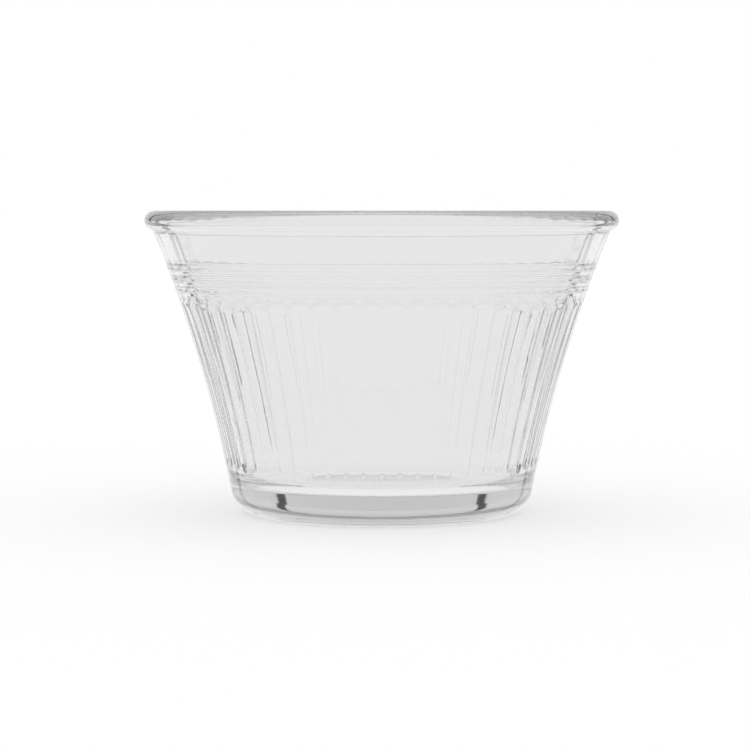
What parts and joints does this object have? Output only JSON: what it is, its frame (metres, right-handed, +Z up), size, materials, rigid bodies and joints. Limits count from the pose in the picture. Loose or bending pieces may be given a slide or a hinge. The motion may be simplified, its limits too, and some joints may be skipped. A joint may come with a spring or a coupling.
{
  "type": "flan ramekin",
  "caption": "Round clear pressed-glass flan ramekin: flared cup with a rounded rim bead, a plain band with fine rings, a belt of narrow arched reeds and a thick rounded base, for baking custard.",
  "frame": {"origin": "centre of the ring that the cup stands on, in the table plane", "axes": "+Z up along the cup's axis; the cup is round, and -Y is the side the picture shows, with a groove between two reeds facing it"},
  "size_m": [0.09, 0.09, 0.0576],
  "materials": {
    "clear_glass": "fire-polished pressed soda-lime glass, clear and colourless"
  },
  "bodies": {
    "root": {"glass_cup": "clear_glass"}
  },
  "joints": []
}
